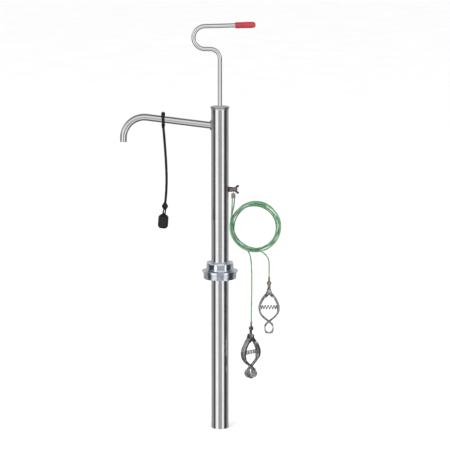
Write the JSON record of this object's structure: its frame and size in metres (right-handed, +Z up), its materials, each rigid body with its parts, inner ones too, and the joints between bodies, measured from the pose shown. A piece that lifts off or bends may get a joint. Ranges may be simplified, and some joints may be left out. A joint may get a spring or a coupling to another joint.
{
  "type": "hand lift drum pump",
  "caption": "Upright stainless hand lift pump with a crooked rod handle, bent spout, bung adapter, capped tether, and two grounding leads with spring clamps",
  "frame": {"origin": "on the pump tube's axis, at the underside of the bung adapter's shoulder, where it seats on a drum", "axes": "+Z up along the tube towards the handle, -X towards the spout, +X towards the grounding stud"},
  "size_m": [0.2935, 0.066, 0.7513],
  "materials": {
    "zinc": "bright zinc plate with a bluish passivation",
    "packing": "moulded nitrile rubber",
    "tube_steel": "drawn stainless steel, polished along its length",
    "valve_steel": "turned stainless steel",
    "ptfe": "turned PTFE",
    "rod_steel": "polished stainless rod",
    "grip_red": "dipped vinyl",
    "stud_steel": "plated steel fasteners",
    "washer_red": "vulcanised fibre",
    "terminal_copper": "bare copper, a little dulled",
    "wire_green": "clear green vinyl over stranded steel",
    "clamp_bright": "bright nickel plate",
    "clamp_dark": "duller nickel plate",
    "tether_black": "moulded black rubber"
  },
  "bodies": {
    "adapter": {"bung_adapter": "zinc"},
    "gland_nut": {"gland_nut": "zinc"},
    "packing": {"gland_packing": "packing"},
    "tube": {"pump_tube": "tube_steel", "top_cap": "tube_steel", "rod_bushing": "ptfe", "spout": "tube_steel", "spout_weld": "tube_steel", "foot_valve_body": "valve_steel", "foot_valve_pin": "valve_steel", "ground_stud": "stud_steel", "stud_washer": "washer_red", "stud_nut": "stud_steel", "lock_washer": "stud_steel", "ring_terminal_1": "terminal_copper", "ring_terminal_2": "terminal_copper", "wire_lead_1": "wire_green", "wire_coil_1": "wire_green", "wire_tail_1": "wire_green", "wire_lead_2": "wire_green", "wire_coil_2": "wire_green", "wire_tail_2": "wire_green", "clamp_1_lug": "terminal_copper", "clamp_1_screw": "clamp_bright", "clamp_1_link": "clamp_bright", "clamp_1_pin": "clamp_bright", "clamp_1_arm_left": "clamp_bright", "clamp_1_spring": "clamp_bright", "clamp_2_lug": "terminal_copper", "clamp_2_screw": "clamp_dark", "clamp_2_link": "clamp_dark", "clamp_2_pin": "clamp_dark", "clamp_2_arm_left": "clamp_dark", "clamp_2_spring": "clamp_dark", "tether_loop": "tether_black", "tether": "tether_black", "tether_bead": "tether_black", "spout_cap": "tether_black"},
    "foot_valve": {"foot_valve_ball": "ptfe"},
    "piston": {"piston_body": "valve_steel", "piston_seal": "ptfe"},
    "piston_valve": {"piston_disc": "ptfe"},
    "plunger": {"plunger_rod": "rod_steel", "handle_grip": "grip_red", "rod_collar": "valve_steel", "piston_nut": "valve_steel"},
    "wing_nut": {"wing_nut": "stud_steel"},
    "clamp_1_arm": {"clamp_1_arm_right": "clamp_bright"},
    "clamp_2_arm": {"clamp_2_arm_right": "clamp_dark"}
  },
  "joints": [
    {"name": "gland_nut_turn", "type": "hinge", "parent": "adapter", "child": "gland_nut", "pos_m": [0, 0, 0.0135], "axis": [0, 0, 1], "continuous": true},
    {"name": "tube_turn", "type": "hinge", "parent": "adapter", "child": "packing", "pos_m": [0, 0, 0.0115], "axis": [0, 0, 1], "continuous": true},
    {"name": "tube_slide", "type": "slide", "parent": "packing", "child": "tube", "axis": [0, 0, 1], "range_m": [-0.024, 0.2]},
    {"name": "foot_valve_lift", "type": "slide", "parent": "tube", "child": "foot_valve", "axis": [0, 0, 1], "range_m": [0, 0.0035]},
    {"name": "plunger_stroke", "type": "slide", "parent": "tube", "child": "piston", "axis": [0, 0, 1], "range_m": [0, 0.45]},
    {"name": "piston_valve_lift", "type": "slide", "parent": "piston", "child": "piston_valve", "axis": [0, 0, 1], "range_m": [0, 0.003]},
    {"name": "handle_turn", "type": "hinge", "parent": "piston", "child": "plunger", "pos_m": [0, 0, 0.3], "axis": [0, 0, 1], "continuous": true},
    {"name": "wing_nut_turn", "type": "hinge", "parent": "tube", "child": "wing_nut", "pos_m": [0.0275, 0, 0.154], "axis": [1, 0, 0], "continuous": true},
    {"name": "clamp_1_squeeze", "type": "hinge", "parent": "tube", "child": "clamp_1_arm", "pos_m": [0.09, -0.00005, -0.034], "axis": [0, 1, 0], "range_deg": [0, 15], "stiffness_Nm_per_rad": 0.8, "springref_deg": -17.19, "deforming": ["clamp_1_spring"]},
    {"name": "clamp_2_squeeze", "type": "hinge", "parent": "tube", "child": "clamp_2_arm", "pos_m": [0.05667, 0.00246, -0.119], "axis": [-0.6157, 0.788, 0], "range_deg": [0, 15], "stiffness_Nm_per_rad": 0.8, "springref_deg": -17.19, "deforming": ["clamp_2_spring"]}
  ]
}
